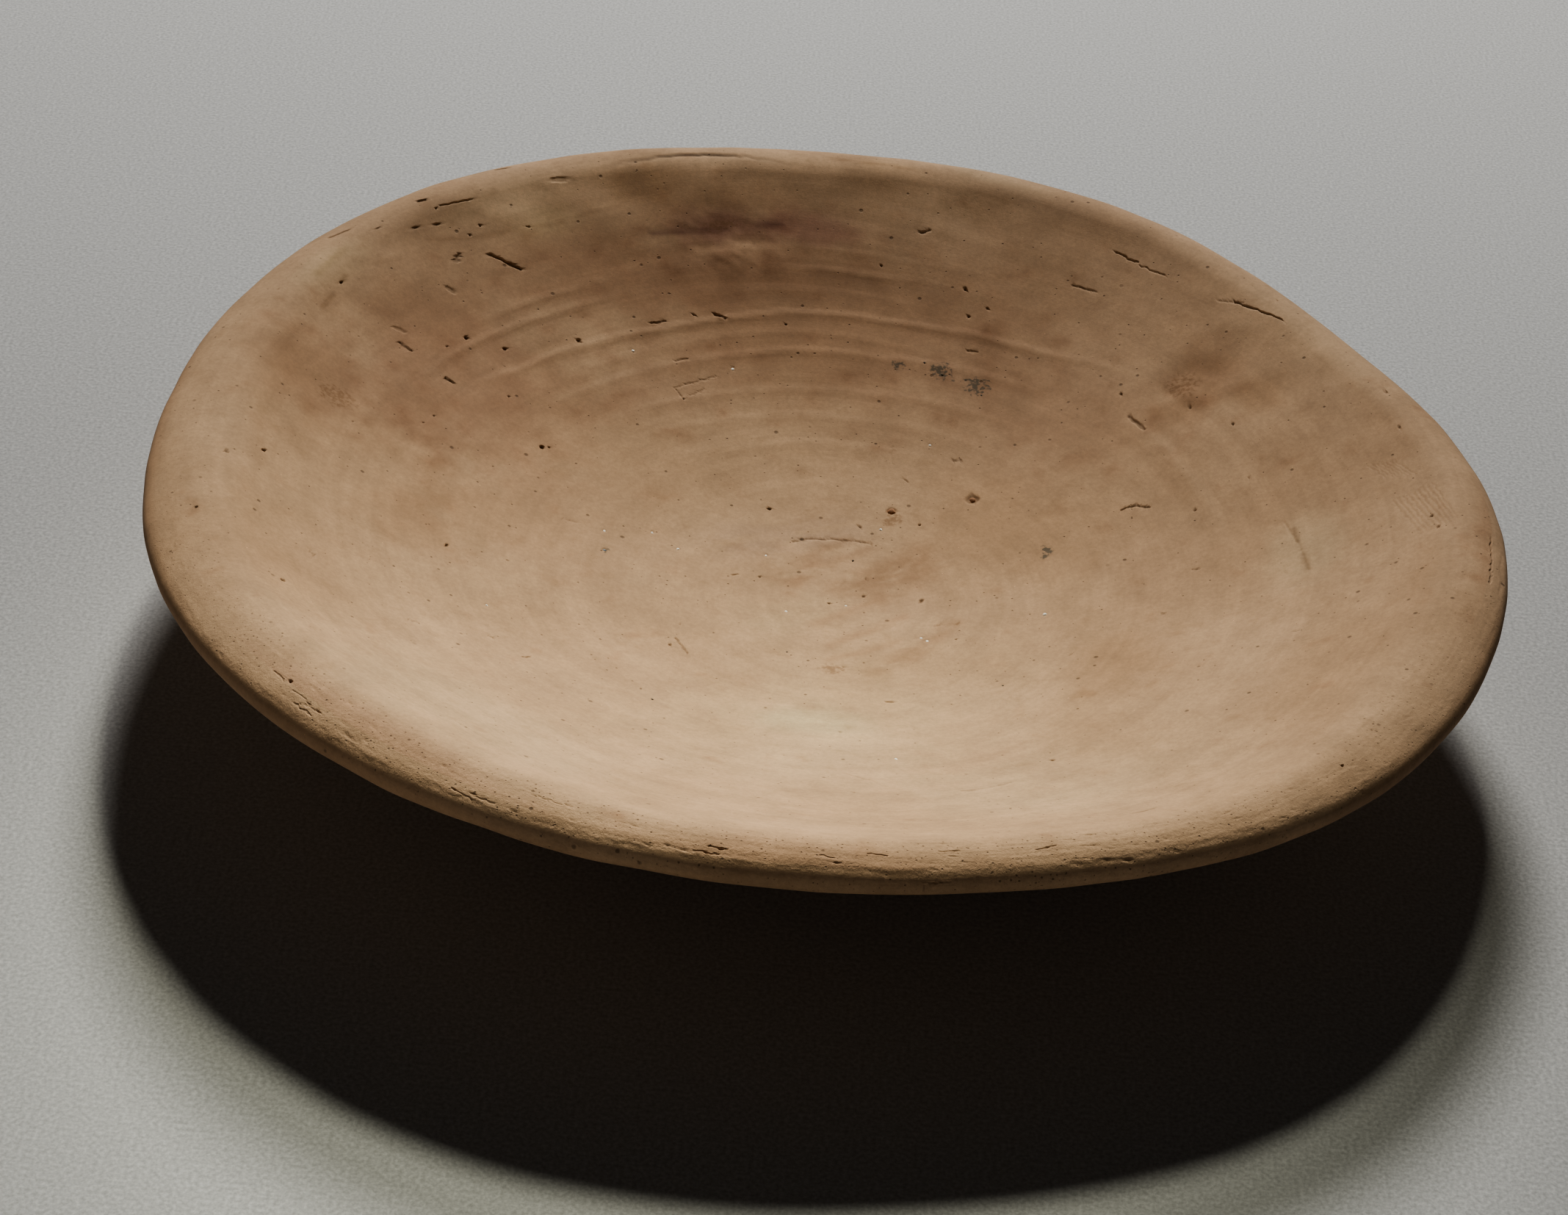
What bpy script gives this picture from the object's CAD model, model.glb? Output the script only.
"""Looks of the hand-made clay dish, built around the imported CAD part.

The skin of the dish and of its rim coil is one polar mesh that follows the same chain of arcs as the
part (hollow, crown, nose, underside, flat foot).  It is made finer where small marks are, pushed in and
out along its normals by fields that stand for the marks of the hand, and then parted along the seam
of the coil.  Lengths are in millimetres up to the point where a mesh is made.
"""

import itertools
import math

import bmesh
import bpy
import numpy as np
from mathutils import Matrix, Vector


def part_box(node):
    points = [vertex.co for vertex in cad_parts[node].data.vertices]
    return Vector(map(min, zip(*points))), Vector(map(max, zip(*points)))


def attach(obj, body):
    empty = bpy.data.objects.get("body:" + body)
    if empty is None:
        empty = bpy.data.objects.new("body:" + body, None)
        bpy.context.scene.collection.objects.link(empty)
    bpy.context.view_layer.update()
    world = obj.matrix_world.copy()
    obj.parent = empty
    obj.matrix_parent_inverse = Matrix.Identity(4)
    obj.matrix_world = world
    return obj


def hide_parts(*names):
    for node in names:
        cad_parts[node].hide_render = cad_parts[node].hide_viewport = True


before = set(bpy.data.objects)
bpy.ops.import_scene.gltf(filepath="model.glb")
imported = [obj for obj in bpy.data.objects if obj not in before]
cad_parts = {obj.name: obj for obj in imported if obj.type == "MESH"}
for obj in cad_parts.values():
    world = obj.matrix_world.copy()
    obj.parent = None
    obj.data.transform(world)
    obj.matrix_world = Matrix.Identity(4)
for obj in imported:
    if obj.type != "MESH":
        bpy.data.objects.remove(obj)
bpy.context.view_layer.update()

MM = 0.001
SEED = 11

# ---- sizes taken from the frame
RIM_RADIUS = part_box("dish")[1].x / MM
RIM_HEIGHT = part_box("rim_coil")[1].z / MM

# ---- section, as in the part
FLOOR = 14.0
FOOT_RADIUS = 50.0
UNDER_RADIUS = 440.0
CREASE_TILT = math.radians(30.0)
CROWN_RADIUS = 12.0
NOSE_RADIUS = 4.0
SEAT_DEPTH = 3.6

# Waver of the hand-made rim: order round the dish, cosine part and sine part.
OUTLINE_WAVES = ((0, -0.4, 0.0), (1, -0.1, -2.2), (2, -0.2, -1.5), (3, 0.2, -1.6), (4, -1.8, -2.1),
                 (5, 1.0, -0.5), (6, 0.7, 0.5), (7, 0.4, 0.4))
HEIGHT_WAVES = ((1, 0.2, -0.7), (2, -0.8, 0.1), (3, 1.6, -1.0))
HEIGHT_LOSS = 1.0

# Where the crown or the nose of the rim is broader: middle and reach in degrees, extra radius.
BROAD_CROWN = ((-175, 32, 14.0), (-128, 22, 8.0), (-27, 20, 12.0), (95, 30, 3.0))
BROAD_NOSE = ((60, 80, 1.0),)

# ---- mesh
COLUMNS = 576
# Rows of the hollow from its middle outwards: (up to this distance, spacing, columns shared by).
HOLLOW_BANDS = ((12, 1.4, 16), (24, 1.4, 8), (48, 1.3, 4), (96, 1.2, 2), (172, 1.2, 1), (187, 0.9, 1))
CROWN_SPACING = 0.45
NOSE_ROWS = 9
UNDER_ROWS = ((24, 2), (40, 4))
FOOT_ROWS = (10, 8)

# ---- throwing marks
# Middle of the swirl that the last turns left, and how far out the drag marks run round it.
SWIRL = (12.0, 0.0)
SWIRL_REACH = 126.0
# Ridges left by the fingers: height, half width, and places (distance from axis, angle) along the ridge.
RIDGES = (
    (0.38, 0.8, ((124.9, 150), (122, 142), (119.6, 118), (120.5, 102), (122.5, 88), (125, 74), (129, 60),
      (134, 46))),
    (0.38, 0.6, ((134, 157), (135.4, 149), (135.3, 140), (134, 131), (133.6, 121))),
    (0.30, 0.6, ((141, 143), (139.7, 130), (139.4, 119))),
    (0.28, 0.6, ((136.5, 99), (137.4, 92), (138, 85), (140.5, 76))),
    (0.16, 0.7, ((144, 101), (144.5, 88), (147, 74))),
    (0.25, 1.0, ((107, 146), (106.3, 130), (106.6, 115), (107, 103), (108.4, 91), (110, 80), (113, 68),
      (118, 52))),
    (0.19, 1.1, ((94, 132), (93, 108), (93.3, 93), (97, 72), (102, 52))),
    (0.16, 1.2, ((83, 125), (82.5, 104), (84, 80), (89, 56))),
    (0.15, 1.4, ((72, 128), (71, 104), (74, 76), (79, 50))),
    (0.12, 1.0, ((113, 140), (113.5, 118), (114.5, 96), (117, 72))),
    (0.11, 0.9, ((129, 110), (130, 92), (132.5, 72))),
    (0.42, 2.0, ((117, 41), (120.3, 35.4), (118.9, 27), (118.9, 17), (119.5, 8))),
)

# ---- marks on the inside
# Pits: (distance from axis, angle), radius.
PITS = (
    ((129.4, 140.3), 0.8), ((123.1, 129.3), 0.8), ((167.2, 132.3), 0.6), ((162.4, 127.1), 0.45),
    ((168.3, 152.3), 0.6), ((96.2, 150.5), 0.85), ((94.8, 149.4), 0.5), ((123.9, 162.3), 0.5),
    ((123.2, 159.7), 0.45), ((138, 170.8), 0.45), ((141.3, 72.6), 0.7), ((132.1, 70.6), 0.6),
    ((137, 68.8), 0.5), ((141.7, 84), 0.5), ((117, 96.9), 0.5), ((122.3, 110.7), 0.5),
    ((126.6, 43.9), 0.6), ((134.1, 34.3), 0.5), ((138.3, 27.2), 0.55), ((174.2, 18.8), 0.6),
    ((171.1, 12.6), 0.6), ((175.4, 38.4), 0.5), ((115.1, 15.4), 0.6), ((132.3, 17), 0.45),
    ((49.9, 50.7), 0.65), ((20.4, 36.5), 0.65), ((16.2, 12.2), 0.6), ((5.8, -13.6), 0.6),
    ((32.7, 3.5), 0.65), ((37.3, -73), 0.6), ((51.2, -137.9), 0.65), ((42.4, -148.2), 0.5),
    ((17.1, 150.1), 0.6), ((39.4, 69.8), 0.55), ((44, 108.4), 0.7), ((105.1, -170.2), 0.7),
    ((75.9, -82), 0.5), ((115.6, -55), 0.65), ((165.1, -170.4), 0.75), ((155.7, -173.7), 0.85),
    ((175.1, -160.2), 0.6), ((159.6, -149.6), 0.9), ((121, -83), 0.45), ((46.8, -25), 0.45),
    ((81, -23.7), 0.4), ((171.1, -2.9), 0.7), ((172.4, -5.2), 0.7), ((115.2, 146.3), 0.5),
    ((138.1, 147.3), 0.5), ((137.5, 143.9), 0.9), ((88, -171), 0.35), ((176, 42), 0.45),
    ((177.9, 143.2), 0.6), ((176.2, 135.9), 0.6), ((173.3, 139.4), 0.5), ((172, 136.8), 0.5),
    ((165.8, 134), 0.6), ((185, -132.8), 0.7), ((187, -44.6), 0.5), ((178, 158.5), 0.45),
)
# Crater of the burst-out grog: place, radius.
CRATER = ((68.3, 46.5), 2.3)
CRATER_DEPTH = 0.65
# Narrow slots and gouges: places from end to end, half width, depth.
GOUGES = (
    (((158.3, 133.1), (150.7, 130.8)), 0.55, 0.60),
    (((161.5, 136.7), (160.1, 137.5)), 0.55, 0.45),
    (((153.8, 140.8), (151.8, 140.6)), 1.0, 0.30),
    (((150.4, 151.2), (148.4, 150.6)), 0.9, 0.25),
    (((173.6, 122.2), (172.8, 120.8)), 1.0, 0.25),
    (((184.1, 147.9), (183.0, 145.6)), 0.45, 0.35),
    (((186.1, 126.7), (184.6, 125.4)), 0.45, 0.35),
    (((107.4, 116.3), (107.5, 114.0)), 0.32, 0.24),
    (((122.1, 117.4), (121.9, 115.3)), 0.36, 0.36),
    (((121.7, 107.5), (120.1, 106.2)), 0.50, 0.48),
    (((120.5, 68.7), (121.2, 67.2)), 0.40, 0.30),
    (((155.2, 80.0), (157.0, 79.0)), 0.36, 0.40),
    (((168.8, 58.1), (168.0, 55.2)), 0.32, 0.40),
    (((167.4, 54.8), (167.2, 51.3)), 0.30, 0.25),
    (((154.0, 60.4), (154.6, 57.3)), 0.34, 0.30),
    (((167.6, 41.9), (168.6, 39), (169.7, 35.6)), 0.30, 0.45),
    (((146.1, 152.5), (142.3, 152.1)), 0.58, 0.42),
    (((130.3, 151.8), (127.9, 151.7)), 0.50, 0.54),
    (((181.0, 137.0), (180.5, 136.1)), 0.58, 0.54),
    (((176.5, 135.3), (175.2, 131.9)), 0.36, 0.30),
    (((121.2, 39.5), (120.6, 35.7)), 0.65, 0.48),
    (((78.8, 58.7), (80.4, 57.2)), 0.40, 0.36),
    (((64.8, 66.0), (64.1, 64.6)), 0.36, 0.30),
    (((109.0, 1.5), (111.1, 1.1)), 0.32, 0.30),
    (((24.2, 161.8), (22.6, 158.7)), 0.29, 0.30),
    (((47.6, -140.8), (49.8, -131.2)), 0.40, 0.36),
    (((59.1, -66.9), (59.8, -65.1)), 0.40, 0.42),
    (((145.7, -158.2), (145.2, -157.6)), 0.29, 0.30),
    (((103.9, -146.2), (103.1, -145.4)), 0.36, 0.36),
    (((99.9, -139.9), (97.4, -140.0)), 0.36, 0.36),
    (((126.1, -148.2), (123.4, -147.4)), 0.28, 0.24),
    (((123.7, -70.1), (123.5, -66.4), (122.6, -63.2)), 0.32, 0.27),
    (((158.2, -80.4), (158.3, -79.9)), 0.36, 0.30),
    (((105.6, -83.4), (112.7, -79.4)), 0.28, 0.15),
    (((168.9, -60.7), (169.0, -58.9)), 0.36, 0.30),
    (((75.6, 167.5), (71.9, 166.6)), 0.29, 0.18),
    (((76.3, 73.2), (69.2, 71.2)), 0.28, 0.15),
    (((139.6, -19.6), (141.1, -19.5)), 0.36, 0.30),
    (((101.0, -9.6), (102.1, -10.3)), 0.36, 0.30),
    (((28.3, 102.7), (29.7, 94.2), (30.5, 82.9), (32.4, 70.2), (34.2, 59.8)), 0.40, 0.34),
    (((97.9, 22.1), (100, 22.2), (102, 21.7), (104.7, 20)), 0.40, 0.48),
    (((99.6, 110.3), (98.3, 118.6), (93, 118)), 0.28, 0.21),
    (((93, 118), (95.6, 113.2)), 0.28, 0.18),
    (((168.5, 41), (166, 43.6)), 0.36, 0.21),
    (((186.4, -6.8), (186.8, -10.7), (187.1, -13.9)), 0.36, 0.30),
    (((156.7, -128.8), (159.7, -120.6), (162.2, -115.3)), 0.28, 0.12),
    (((145.4, -116), (140.9, -129)), 0.28, 0.10),
    (((151, -133), (152.5, -122)), 0.28, 0.10),
    (((135.6, 6.1), (137.9, 0.2), (139.7, -5.4)), 0.43, 0.15),
)
# Short slots strewn along the front lip: how many, angles and distances between which they lie.
LIP_SLOTS = 16
LIP_SLOT_ANGLES = (-142, -66)
LIP_SLOT_BAND = (180, 190)
# Fold at the back of the crest: distance inward from the crest, angle, reach in degrees.
FOLD_ALONG, FOLD_ANGLE, FOLD_REACH = 1.5, 106.0, 6.5
# Strokes of a rough tool: first line, step to the next (distance, angle), number of lines.
HATCH_HALF_WIDTH, HATCH_DEPTH = 0.34, 0.09
HATCHES = (
    (((160.0, 9.6), (163.4, 6.2)), (1.1, -0.25), 7),
    (((163.0, 2.2), (168.0, -5.0)), (1.25, 0.0), 9),
)
# Broad dents and lumps: place, reach, depth (negative for a lump).
DENTS = (
    ((145.3, 36.5), 11, 1.1), ((131.5, 33.5), 8, 0.8), ((149, 28), 9, 0.8), ((153, 167), 17, 0.9),
    ((129, 161), 9, 0.4), ((150.5, 104.5), 10, 0.7), ((140.5, 104), 6, -0.7), ((139.5, 98), 5, -0.5),
    ((137.5, 110), 6, -0.35), ((167, 114), 10, 1.1), ((172, 146), 12, -0.6), ((168, 129), 9, -0.5),
    ((158, 118), 8, -0.4), ((166, 70), 13, 0.5), ((141, 40), 4, 0.45), ((137, 36), 3.5, -0.4),
    ((134, 38.5), 3, 0.4), ((146, 33), 5, -0.4), ((128, 37), 5, -0.3), ((175, 86), 4, -0.3),
    ((120, 12), 12, 0.4), ((140, -18), 15, 0.4),
)
# Places where the surface was left rough: place, reach along the radius, reach round the axis, depth.
ROUGH = (
    ((150.5, 104.5), 6, 18, 0.30), ((141, 103), 6, 16, 0.35), ((141, 38), 9, 11, 0.28),
    ((174, 148), 8, 16, 0.28),
    ((174, 126), 6, 22, 0.16), ((152, 165), 12, 12, 0.12), ((175.5, 86), 3, 12, 0.30),
    ((130, 34), 6, 8, 0.20),
    ((165, 40), 6, 12, 0.16),
)
# Grains of the part's four kinds, by node: places and radius.
GRAINS = {
    "pale_grit": (((63.9, 165), (52.5, 155.5), (43, 158.2), (24, 124.8), (41.5, 61.1), (9.7, -130.2),
                   (11, -10.2), (37.4, -29.3), (39.7, -30.1), (114.2, 122.2), (101.9, 106.8), (81.4, 65.7),
                   (68.4, -7.8), (95.5, -74.4), (98, -155.4)), 0.75),
    "dark_grit": (((111.2, 74.1), (109, 70.4), (110, 66.5), (106.6, 62.7), (24, 60), (30, -100),
                   (72, -40), (81, -120)), 0.5),
    "blue_grey_grit": (((61, 173.3),), 1.0),
    "brown_grog": (((68.3, 46.5), (50.3, 62.9)), 1.6),
}
# Shares of a grain's radius: how far its middle is sunk, and how deep its socket is.
GRAIN_SUNK = 0.62
SOCKET_SHARE = 0.25
# Small marks stop this far outwards from the crest.
MARKS_END = -12

# ---- colours, linear
CLAY = np.array([0.50, 0.342, 0.222])
# How much darker the clay is inside deep marks, and the depths between which that grows.
MARK_DIRT = 0.32
DIRT_DEPTHS = (-0.04, -0.55)
# How strong the smears are.
SMEAR_SHARE = 0.75
# Stains and pale patches: place, reach along the radius, reach round the axis, factor for each colour.
# The wide, faint ones make up for light in the photo that the lights below don't give.
STAINS = (
    ((150.7, 104.5), 6, 17, (0.78, 0.70, 0.75)), ((150, 93), 6, 14, (0.88, 0.80, 0.86)),
    ((157, 104), 10, 30, (0.93, 0.90, 0.88)), ((166, 112), 6, 13, (0.89, 0.86, 0.83)),
    ((153, 167), 20, 24, (0.87, 0.83, 0.81)), ((129, 161), 13, 16, (0.90, 0.87, 0.85)),
    ((148, 147), 20, 30, (0.93, 0.89, 0.87)), ((147, 127), 13, 28, (0.98, 0.95, 0.94)),
    ((118, 90), 32, 78, (0.87, 0.82, 0.80)), ((136, 108), 14, 50, (0.90, 0.86, 0.85)),
    ((128, 152), 26, 44, (0.86, 0.82, 0.82)), ((112, 52), 22, 40, (0.88, 0.85, 0.84)),
    ((105, 150), 24, 34, (0.92, 0.88, 0.86)),
    ((145, 37), 11, 15, (0.86, 0.81, 0.78)), ((132, 34.5), 8, 10, (0.90, 0.86, 0.83)),
    ((149, 29), 8, 9, (0.90, 0.87, 0.84)), ((175, 86), 3, 12, (1.12, 1.12, 1.10)),
    ((174, 151), 7, 18, (1.12, 1.17, 1.17)), ((171, 128), 6, 26, (1.08, 1.12, 1.12)),
    ((162, 125), 5, 12, (1.02, 1.06, 1.03)), ((181, 75), 5, 26, (1.05, 1.09, 1.10)),
    ((69, -88), 8, 15, (1.00, 1.07, 1.07)), ((139, -1), 11, 18, (1.09, 1.15, 1.17)),
    ((95, -26), 16, 20, (0.94, 0.92, 0.90)), ((115, -173), 14, 16, (0.93, 0.90, 0.88)),
    ((70, 30), 24, 30, (0.94, 0.92, 0.90)), ((160, -30), 24, 36, (0.95, 0.94, 0.93)),
    ((172, 35), 12, 50, (1.05, 1.07, 1.07)), ((90, -92), 34, 46, (1.05, 1.08, 1.09)),
    ((150, -125), 28, 46, (1.04, 1.08, 1.10)), ((80, 172), 40, 30, (0.94, 0.92, 0.91)),
    ((168, 82), 13, 36, (1.13, 1.15, 1.15)), ((168, 102), 13, 36, (1.16, 1.18, 1.18)),
    ((167, 122), 13, 36, (1.16, 1.18, 1.18)), ((100, 120), 14, 30, (0.90, 0.88, 0.88)),
    ((90, 58), 30, 40, (0.94, 0.93, 0.93)), ((100, 5), 18, 30, (0.95, 0.94, 0.94)),
    ((30, 10), 12, 16, (0.94, 0.93, 0.93)), ((62, -70), 45, 60, (1.06, 1.07, 1.06)),
    ((60, -80), 26, 34, (1.05, 1.07, 1.07)), ((131, 88), 8, 44, (0.91, 0.90, 0.89)),
    ((130, 180), 30, 40, (0.94, 0.93, 0.92)), ((187, -172), 6, 50, (0.93, 0.87, 0.85)),
    ((187, -8), 5, 40, (0.95, 0.91, 0.89)), ((185, -125), 8, 60, (0.98, 0.94, 0.95)),
    ((186, -90), 8, 60, (0.98, 0.95, 0.95)),
    ((130, -60), 26, 40, (1.03, 1.06, 1.07)),
)
# Smears of the last wipe round the middle: line, half width, factor for each colour.
SMEARS = (
    (((11, 131), (31.7, 59.8)), 3.2, (0.78, 0.73, 0.70)),
    (((10.5, 40.5), (39.6, 38)), 5.0, (0.78, 0.73, 0.70)),
    (((20.2, 22.4), (38.5, 29.6)), 7.0, (0.84, 0.79, 0.76)),
    (((13.2, -80.2), (21.1, 6.1)), 2.6, (0.86, 0.81, 0.78)),
    (((42.4, -62.5), (38.8, -32.2)), 3.2, (0.82, 0.78, 0.74)),
    (((42.9, -46), (43.7, -14.7)), 2.6, (0.86, 0.81, 0.78)),
    (((25.3, -74.3), (28.4, -14.3)), 1.8, (0.88, 0.83, 0.80)),
    (((18.6, 107.3), (31.7, 73)), 2.4, (0.82, 0.78, 0.74)),
    (((33, -78), (34, -36)), 1.6, (0.88, 0.83, 0.80)), (((6, 160), (20, 88)), 2.2, (0.86, 0.81, 0.78)),
    (((20.1, -128.4), (5.7, -69.7)), 8.0, (1.05, 1.09, 1.08)),
    (((33, 132), (34, 78)), 9.0, (0.90, 0.91, 0.98)),
    (((169, 139), (162, 116)), 0.8, (0.80, 0.77, 0.74)), (((151, 113), (151, 97)), 0.9, (0.55, 0.48, 0.53)),
    (((137.5, 4), (139.7, -5.4)), 0.7, (0.62, 0.58, 0.54)),
    (((173.9, 154), (176.5, 148.5)), 1.3, (0.80, 0.80, 0.74)),
    (((165.8, 156.8), (169.5, 151)), 0.8, (0.66, 0.62, 0.56)),
    (((175, 91), (176, 80)), 1.2, (0.74, 0.70, 0.66)),
)
# Patches where dark or brown specks crowd: place, reach along the radius, reach round the axis.
DARK_SPECKS = (((110, 71), 6, 6), ((109, 64), 6, 7), ((108, 78), 3, 4), ((73, 19), 3.2, 3.6),
               ((71, 16), 2, 2), ((60.5, 173.5), 1.6, 2.4))
BROWN_SPECKS = (((39, -17.4), 2.0, 3.4), ((44.5, -15.4), 1.5, 3.6), ((47, 59), 2.5, 3.2), ((38, -78), 5, 6),
                ((150.5, 104.5), 4, 9), ((146, 168), 9, 9), ((139, 38), 8, 9), ((50.3, 62.9), 2.2, 4),
                ((44.4, 61.7), 2, 3), ((68.3, 46.5), 2.6, 2.8))


# ==== random fields
class Field:
    """Smooth random values in space, from about -1 to 1, the same on every run."""

    def __init__(self, seed):
        dice = np.random.default_rng(seed)
        self.order = dice.permutation(256)
        slopes = dice.normal(size=(256, 3))
        self.slopes = slopes / np.linalg.norm(slopes, axis=1)[:, None]

    def at(self, points):
        """The field's value at each point."""
        cell = np.floor(points).astype(int)
        part = points - cell
        fade = part ** 3 * (part * (part * 6 - 15) + 10)
        total = np.zeros(len(points))
        for corner in itertools.product((0, 1), repeat=3):
            key = self.order[(cell[:, 0] + corner[0]) & 255]
            key = self.order[(key + cell[:, 1] + corner[1]) & 255]
            key = self.order[(key + cell[:, 2] + corner[2]) & 255]
            height = ((part - corner) * self.slopes[key]).sum(1)
            total += height * np.where(corner, fade, 1 - fade).prod(1)
        return total * 1.7

    def layered(self, points, layers):
        """Sum of ever finer and fainter layers."""
        return sum(self.at(points * 2 ** k + 17.3 * k) / 2 ** k for k in range(layers))


def turned(angle, stretch, third):
    """Points for a field that runs round the dish without a seam; third is its third coordinate."""
    third = np.broadcast_to(third, angle.shape)
    return np.column_stack([np.cos(angle) * stretch, np.sin(angle) * stretch, third])


def turn_from(angle, middle):
    """Degrees from the middle angle, from -180 to 180."""
    return (np.degrees(angle) - middle + 180.0) % 360.0 - 180.0


def lobe(angle, middle, reach):
    """1 at the middle, in degrees, and falling off to both sides."""
    return np.exp(-(turn_from(angle, middle) / reach) ** 2)


def smooth(low, high, value):
    """0 below low, 1 above high, smooth between."""
    share = np.clip((value - low) / (high - low), 0, 1)
    return share * share * (3 - 2 * share)


# ==== section
def waves(angle, terms):
    """Sum of waves round the dish, from (order, cosine part, sine part)."""
    return sum(c * np.cos(n * angle) + s * np.sin(n * angle) for n, c, s in terms)


class Section:
    """The chain of arcs at each angle round the dish."""

    def __init__(self, angle):
        crown = CROWN_RADIUS + sum(extra * lobe(angle, mid, reach) for mid, reach, extra in BROAD_CROWN)
        nose = NOSE_RADIUS + sum(extra * lobe(angle, mid, reach) for mid, reach, extra in BROAD_NOSE)
        radius = RIM_RADIUS + waves(angle, OUTLINE_WAVES)
        height = RIM_HEIGHT - HEIGHT_LOSS + waves(angle, HEIGHT_WAVES)
        self.crown, self.nose = crown, nose
        self.crown_r = radius - nose - (crown - nose) * math.sin(CREASE_TILT)
        self.crown_z = height - crown
        above = self.crown_z - FLOOR
        self.hollow = (self.crown_r ** 2 + above ** 2 - crown ** 2) / (2 * (crown + above))
        self.hollow_z = FLOOR + self.hollow
        self.slope = np.arctan2(self.crown_r, self.hollow_z - self.crown_z)
        self.nose_r = self.crown_r + (crown - nose) * math.sin(CREASE_TILT)
        self.nose_z = self.crown_z + (crown - nose) * math.cos(CREASE_TILT)
        self.find_under()

    def find_under(self):
        """The arc from the edge of the foot that runs into the nose."""
        gap_r, gap_z = self.nose_r - FOOT_RADIUS, self.nose_z
        gap = np.hypot(gap_r, gap_z)
        reach = UNDER_RADIUS - self.nose
        along = (UNDER_RADIUS ** 2 - reach ** 2 + gap ** 2) / (2 * gap)
        aside = np.sqrt(UNDER_RADIUS ** 2 - along ** 2)
        self.under_r = FOOT_RADIUS + (gap_r * along - gap_z * aside) / gap
        self.under_z = (gap_z * along + gap_r * aside) / gap
        self.nose_end = np.arctan2(self.nose_r - self.under_r, self.nose_z - self.under_z)
        self.under_end = np.arctan2(FOOT_RADIUS - self.under_r, -self.under_z)

    def hollow_at(self, share):
        """Share 0 is the middle of the floor, 1 the inner seam of the coil."""
        tilt = self.slope * share
        along = self.crown * self.slope + self.hollow * (self.slope - tilt)
        return self.hollow * np.sin(tilt), self.hollow_z - self.hollow * np.cos(tilt), along

    def crown_at(self, share):
        """Share 0 is the inner seam, 1 the outer seam."""
        tilt = -self.slope + (self.slope + CREASE_TILT) * share
        return (self.crown_r + self.crown * np.sin(tilt), self.crown_z + self.crown * np.cos(tilt),
                -self.crown * tilt)

    def nose_at(self, share):
        """Share 0 is the outer seam, 1 the start of the underside."""
        tilt = CREASE_TILT + (self.nose_end - CREASE_TILT) * share
        along = -self.crown * CREASE_TILT - self.nose * (tilt - CREASE_TILT)
        return self.nose_r + self.nose * np.sin(tilt), self.nose_z + self.nose * np.cos(tilt), along

    def under_at(self, share):
        """Share 0 is the end of the nose, 1 the edge of the foot."""
        tilt = self.nose_end + (self.under_end - self.nose_end) * share
        along = (-self.crown * CREASE_TILT - self.nose * (self.nose_end - CREASE_TILT)
                 - UNDER_RADIUS * (tilt - self.nose_end))
        return self.under_r + UNDER_RADIUS * np.sin(tilt), self.under_z + UNDER_RADIUS * np.cos(tilt), along

    def foot_at(self, share):
        """Share 0 is the edge of the foot, 1 its middle."""
        radius = np.full_like(self.crown, FOOT_RADIUS * (1 - share))
        along = self.under_at(1.0)[2] - FOOT_RADIUS * share
        return radius, np.zeros_like(radius), along


# ==== skin mesh
DISH, COIL = 0, 1


def row_plan():
    """(piece, part of the section, share, columns) for each row, from the hollow's middle to the foot's."""
    reach = HOLLOW_BANDS[-1][0]
    plan, start = [], HOLLOW_BANDS[0][1]
    for end, spacing, shared in HOLLOW_BANDS:
        count = max(1, round((end - start) / spacing))
        for k in range(count):
            plan.append((DISH, "hollow_at", (start + (end - start) * k / count) / reach, COLUMNS // shared))
        start = end
    plan.append((DISH, "hollow_at", 1.0, COLUMNS))
    crown_rows = round(CROWN_RADIUS * (CREASE_TILT + 0.6) / CROWN_SPACING)
    plan += [(COIL, "crown_at", k / crown_rows, COLUMNS) for k in range(1, crown_rows + 1)]
    plan += [(DISH, "nose_at", k / NOSE_ROWS, COLUMNS) for k in range(1, NOSE_ROWS + 1)]
    total = sum(rows for rows, shared in UNDER_ROWS)
    done = 0
    for rows, shared in UNDER_ROWS:
        for k in range(rows):
            done += 1
            plan.append((DISH, "under_at", done / total, COLUMNS // shared))
    total = sum(FOOT_ROWS) + 1
    done = 0
    foot_shared = UNDER_ROWS[-1][1]
    for rows in FOOT_ROWS:
        foot_shared *= 2
        for k in range(rows):
            done += 1
            plan.append((DISH, "foot_at", done / total, COLUMNS // foot_shared))
    return plan


def join_rows(first, second, count, other):
    """Triangles between two rings of count and other corners, where one may have twice the other's."""
    if count == other:
        k = np.arange(count)
        a, b = first + k, first + (k + 1) % count
        c, d = second + k, second + (k + 1) % count
        return np.vstack([np.column_stack([a, b, d]), np.column_stack([a, d, c])])
    if count > other:
        k = np.arange(other)
        a, b, c = first + 2 * k, first + 2 * k + 1, first + (2 * k + 2) % count
        d, e = second + k, second + (k + 1) % other
        return np.vstack([np.column_stack([a, b, d]), np.column_stack([b, e, d]), np.column_stack([b, c, e])])
    return join_rows(second, first, other, count)[:, ::-1]


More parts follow.
